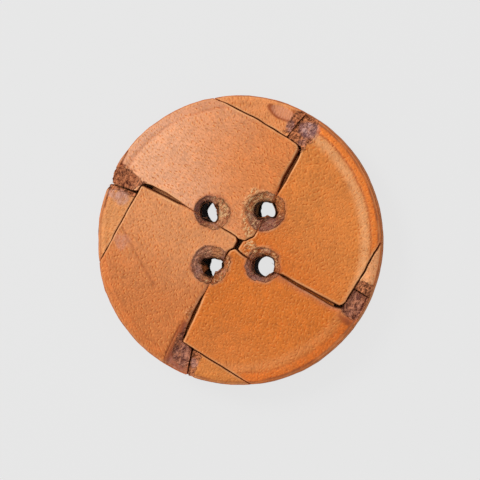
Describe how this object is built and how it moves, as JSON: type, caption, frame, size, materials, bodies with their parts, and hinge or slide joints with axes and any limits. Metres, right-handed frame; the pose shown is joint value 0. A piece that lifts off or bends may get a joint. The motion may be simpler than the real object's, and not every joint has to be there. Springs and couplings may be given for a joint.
{
  "type": "woven leather button",
  "caption": "Flat round sew-through button woven from short pressed leather straps on a leather backing disc.",
  "frame": {"origin": "centre of the back face, which lies on the cloth or the table", "axes": "+Z out of the face; +X and +Y along the sides of the square of sewing holes"},
  "size_m": [0.028, 0.028, 0.0034],
  "materials": {
    "strap_leather": "tan full-grain leather, burnished to a soft sheen",
    "backing_leather": "tan leather, matt flesh side"
  },
  "bodies": {
    "root": {"backing_disc": "backing_leather", "upper_strap": "strap_leather", "right_strap": "strap_leather", "lower_strap": "strap_leather", "left_strap": "strap_leather"}
  },
  "joints": []
}
